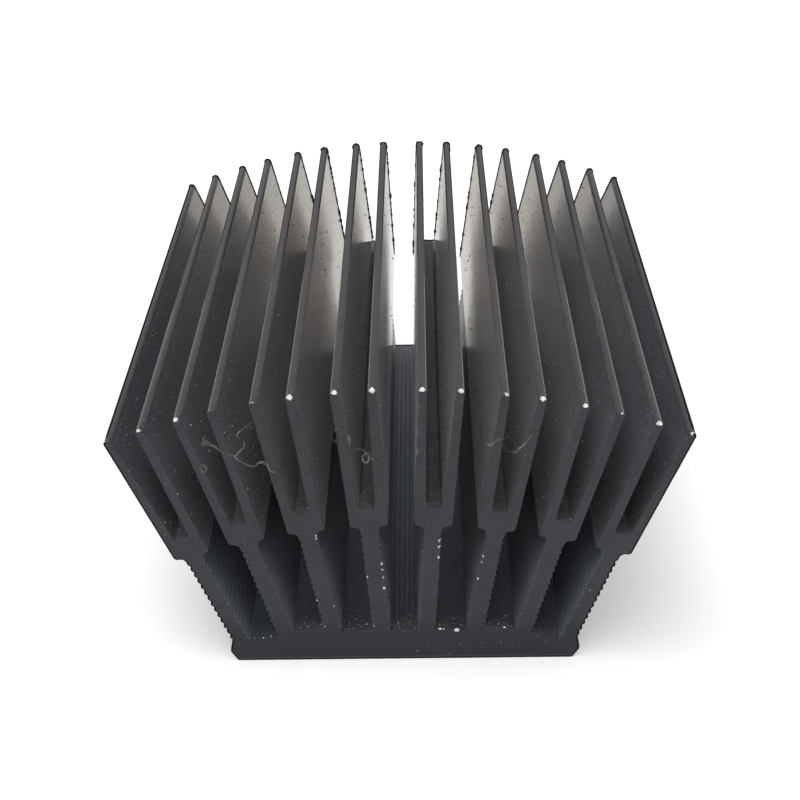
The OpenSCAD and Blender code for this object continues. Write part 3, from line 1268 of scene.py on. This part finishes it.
# %% [markdown]
# ## Crumbs of dust
#
# Coarser crumbs lie on the same floors, and finer grains cling to the sides of the fins. They are real
# lumps, because a painted speck almost disappears on a face that is seen at a glancing angle. Each is
# a ball of twenty triangles, pulled out of shape, turned at random and laid on the surface. Most are
# strewn with a fixed random seed, and the crumbs lie thicker near the front. Single light flecks, and
# the dark grit that the press dragged along the shiny fins, lie where the picture shows them: there
# the sight line is followed until it meets the metal.

# %% The finish of dust
crumb_dark = (0.10, 0.095, 0.088)
crumb_light = (0.42, 0.40, 0.37)
grit_dark = (0.012, 0.011, 0.010)
grit_light = (0.050, 0.046, 0.042)
patch_from, patch_to = 0.35, 0.65
dull, duller = 0.85, 0.15


def settled_dust(name, dark, light, cells=2.3):
    material, wire, shader = new_finish(name)
    tone = between(noise(wire, across=cells, along=cells, up=cells), patch_from, patch_to)
    plug(wire.tree, shader, Base_Color=mix_colour(tone, dark, light), Roughness=dull + duller * tone)
    return material


def add_piece(name, made, material):
    """Put a finished mesh into the scene, as a piece that rides on the one body."""
    made.materials.append(material)
    piece = bpy.data.objects.new(name, made)
    bpy.context.scene.collection.objects.link(piece)
    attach(piece, "root")
    print(name, "has", len(made.polygons), "faces")


print("dust finish ready")

# %% The shape of a lump
rough_least, rough_range = 0.65, 0.6
broad_least, broad_range = 0.5, 0.8
any_turn = 6.28
lump_rise = 0.4
ball = bmesh.new()
bmesh.ops.create_icosphere(ball, subdivisions=1, radius=1.0)
ball_points = np.array([corner.co for corner in ball.verts])
ball_faces = np.array([[corner.index for corner in face.verts] for face in ball.faces])
ball.free()


def lump(place, normal, half_width, half_height):
    """Points of one uneven lump that lies on a surface, half sunk into its own height."""
    shape = ball_points * (rough_least + rough_range * luck.rand(len(ball_points), 1))
    shape = shape * (half_width, half_width * (broad_least + broad_range * luck.rand()), half_height)
    spin = Matrix.Rotation(any_turn * luck.rand(), 3, "Z")
    tilt = Vector(normal).to_track_quat("Z", "Y").to_matrix() @ spin
    return shape @ np.array(tilt).T + place + np.array(normal) * half_height * lump_rise


def lumps_to_mesh(name, lumps):
    """One mesh of many lumps."""
    made = bpy.data.meshes.new(name)
    corner_lists = [ball_faces + k * len(ball_points) for k in range(len(lumps))]
    made.from_pydata((np.vstack(lumps) * MM).tolist(), [], np.vstack(corner_lists).tolist())
    return made


print("a lump has", len(ball_points), "points and", len(ball_faces), "faces")

# %% Strew the crumbs and grains
end_margin = 0.3
floor_crumbs, crumb_fade, strewn_share = 1100, 0.35, 0.2
crumb_size, crumb_least, crumb_range, largest_crumb, crumb_height = 0.045, 0.5, 0.6, 0.15, 0.7
clinging_grains, middle_chance, chance_width = 6000, 0.25, 30
grain_size, grain_least, grain_range, largest_grain, grain_height = 0.066, 0.6, 0.4, 0.14, 0.8

lumps = []
for k in luck.choice(resting, floor_crumbs):
    distance = end_margin + luck.exponential(fades_over[k] * crumb_fade)
    if luck.rand() < strewn_share:
        distance = luck.uniform(end_margin, length)
    place = np.array((section[k][0], front + min(distance, length - end_margin), section[k][1]))
    size = min(crumb_size * (crumb_least + luck.exponential(crumb_range)), largest_crumb)
    lumps.append(lump(place, np.array((-inward[k][0], 0, -inward[k][1])), size, size * crumb_height))

stretch = np.linalg.norm(ahead, axis=1)
inside_box = (np.abs(section[:, 0]) < wide / 2 - end_margin) & (to_tip > tip_thickness)
chance = stretch * inside_box * np.isin(features, ("tip", "fin", "slot"))
chance = chance * (middle_chance + np.abs(section[:, 0]) / chance_width)
for k in luck.choice(count, clinging_grains, p=chance / chance.sum()):
    x, z = section[k] + ahead[k] * luck.rand()
    place = np.array((x, luck.uniform(front + end_margin, -front - end_margin), z))
    size = min(grain_size * (grain_least + luck.exponential(grain_range)), largest_grain)
    out = np.array((ahead[k][1], 0, -ahead[k][0])) / stretch[k]
    lumps.append(lump(place, out, size, size * grain_height))
print("crumbs and grains:", len(lumps))

# %% Stick on the flecks
fleck_spots = [
    (336, 607, 0.10), (339, 624, 0.08), (421, 615.6, 0.14), (426, 615.6, 0.08), (475.6, 613.6, 0.08),
    (404, 630.4, 0.09), (417, 650.6, 0.11), (450, 653.4, 0.12), (453, 650.4, 0.08), (501, 642.4, 0.12),
    (482, 643, 0.09), (590, 590, 0.13), (579, 605, 0.08), (522, 590, 0.10), (165.8, 484, 0.10),
    (156.7, 478, 0.11), (211.7, 427.5, 0.14), (185.8, 540, 0.11), (165.8, 534.7, 0.11),
    (582.5, 442, 0.16), (525, 455.8, 0.11), (455.8, 518, 0.10), (451.7, 521.7, 0.09),
    (379.5, 406, 0.17), (170.5, 461.5, 0.09), (175, 471, 0.11), (160, 413, 0.10), (177.5, 494, 0.13),
    (201.5, 470.5, 0.12), (208, 385, 0.08), (263.5, 475, 0.08), (262.5, 479, 0.07), (232, 426, 0.10),
    (305, 421, 0.09), (367.5, 640, 0.07), (461, 644, 0.09), (428, 642, 0.07), (511, 644.5, 0.07),
    (546, 642, 0.07), (537.5, 636, 0.08), (304.5, 657.2, 0.08), (325.5, 640.5, 0.07), (326, 616, 0.08),
    (338, 618, 0.07), (526.5, 625.5, 0.07),
]
grit_spots = [
    (320.7, 233.6, 0.08), (325, 269.7, 0.16), (330, 271, 0.06), (337.9, 285, 0.07), (331.6, 304, 0.05),
    (331.4, 306, 0.07), (331.3, 308, 0.07), (331, 310.5, 0.09), (320.7, 325.7, 0.08),
    (339.3, 251.4, 0.05), (366.1, 215, 0.11), (368.1, 226.9, 0.08), (387.1, 223.3, 0.05),
    (387.9, 290, 0.06), (384.3, 262.9, 0.05), (391.4, 262.9, 0.05), (393.2, 325, 0.16),
    (393.4, 331.4, 0.14), (499.2, 178.5, 0.05), (498.9, 180.5, 0.06), (498.7, 182.5, 0.07),
    (498.8, 184.5, 0.08), (499.8, 186, 0.09), (501, 186.2, 0.08), (501.9, 185.3, 0.06),
    (502.9, 219, 0.12), (499.3, 227.4, 0.08), (529.6, 202.4, 0.08), (530, 194, 0.05),
    (523.4, 232.9, 0.12), (527.9, 258.6, 0.07), (527.9, 254.3, 0.05), (538, 222.6, 0.05),
    (555, 221.9, 0.09), (467.1, 262.9, 0.07), (475, 272.9, 0.07), (472.9, 279.3, 0.06),
    (467.9, 289.3, 0.06), (478.6, 302.9, 0.07), (470, 307, 0.08), (475, 300, 0.06),
    (482.9, 238.6, 0.06), (466.5, 222, 0.07), (472, 245, 0.05), (488.6, 273.6, 0.05),
    (405.5, 398, 0.08), (400, 412, 0.05), (412, 412, 0.07), (407, 435, 0.07), (414, 440, 0.09),
    (411, 356, 0.07),
]
fleck_thickness = 0.018
looks_forward = -0.5
metal = BVHTree.FromPolygons(points.tolist(), faces)


def stuck_on(places):
    """Lumps on the metal at these spots of the picture; those on the front face are kept flat."""
    made = []
    for column, row, size in places:
        place, normal, _, _ = metal.ray_cast(camera_place / MM, sight(column, row))
        if place:
            thick = fleck_thickness if normal.y < looks_forward else size * grain_height
            made.append(lump(np.array(place), np.array(normal), size, thick))
    return made


lumps += stuck_on(fleck_spots)
crumbs = lumps_to_mesh("dust_crumbs", lumps)
add_piece("dust_crumbs", crumbs, settled_dust("settled_dust", crumb_dark, crumb_light))
grit = lumps_to_mesh("dark_grit", stuck_on(grit_spots))
add_piece("dark_grit", grit, settled_dust("dark_grit", grit_dark, grit_light))

# %% [markdown]
# ## Lint
#
# A few thin fibres hang on the front edges of the fins, where they caught when the part was wiped.
# A fibre is a curve with a round section. It could be simulated as hair, but only seven are seen, so
# each is a list of spots in the picture, laid on the front face and bridging the gaps between the
# prongs that hold it. Each is laid three times, a little apart, so it looks frayed like real lint.

# %% Lay the fibres
fibre_spots = [
    [(206, 437), (203, 439), (206, 441.5), (201.5, 443), (205, 445.5), (203, 441), (207.5, 443),
     (204.3, 442.9), (214.3, 446.4), (222.9, 452.9), (232.9, 455.7), (240, 461.4), (248.6, 465.7),
     (255.7, 466.4), (259.3, 462.9), (265.7, 464.3), (270, 470), (274, 472)],
    [(251, 421), (247, 427), (241, 430), (237.5, 436), (241.4, 441.4), (244.3, 445.7), (240, 451.4),
     (236, 456.5)],
    [(339, 436), (344.3, 432.9), (348.6, 438.6), (350, 444.3), (354.3, 448.6), (361.4, 450),
     (367.1, 454.3), (368.6, 460), (365.7, 462.9), (362.9, 457.1), (367, 452.9), (371, 458),
     (375.7, 461.4), (373.5, 464.5)],
    [(338, 429), (333.5, 431), (332, 436), (334.3, 441), (339, 443)],
    [(487, 443), (490, 445.7), (497, 440.7), (505.7, 438.6), (509, 437)],
    [(500, 443), (503.3, 446.7), (505.5, 450.5), (510, 452.5), (515, 452), (518.3, 450), (524.2, 445),
     (528, 438.5), (533, 434.5), (538, 433)],
    [(199, 469), (203, 465), (206, 470.5), (201.5, 473)],
]
lint_dark = (0.055, 0.055, 0.053)
lint_light = (0.40, 0.395, 0.38)
lint_cells = 0.6
plies, ply_spread = 3, 0.7
fibre_radius = hair / 3.1

strand = bpy.data.curves.new("lint", "CURVE")
strand.dimensions = "3D"
strand.bevel_depth = fibre_radius * MM
strand.bevel_resolution = 1
strand.resolution_u = 6
strand.use_fill_caps = True
for spots_of_one in fibre_spots * plies:
    spline = strand.splines.new("BEZIER")
    spline.bezier_points.add(len(spots_of_one) - 1)
    for knot, spot in zip(spline.bezier_points, spots_of_one):
        x, z = on_front_face(*(np.array(spot) + luck.normal(0, ply_spread, 2)))
        knot.co = Vector((x, face_place - hair / 2, z)) * MM
        knot.handle_left_type = knot.handle_right_type = "AUTO"
guide = bpy.data.objects.new("lint_guide", strand)
lint = bpy.data.meshes.new_from_object(guide)
lint.name = "lint"
bpy.data.objects.remove(guide)
add_piece("lint", lint, settled_dust("lint", lint_dark, lint_light, lint_cells))
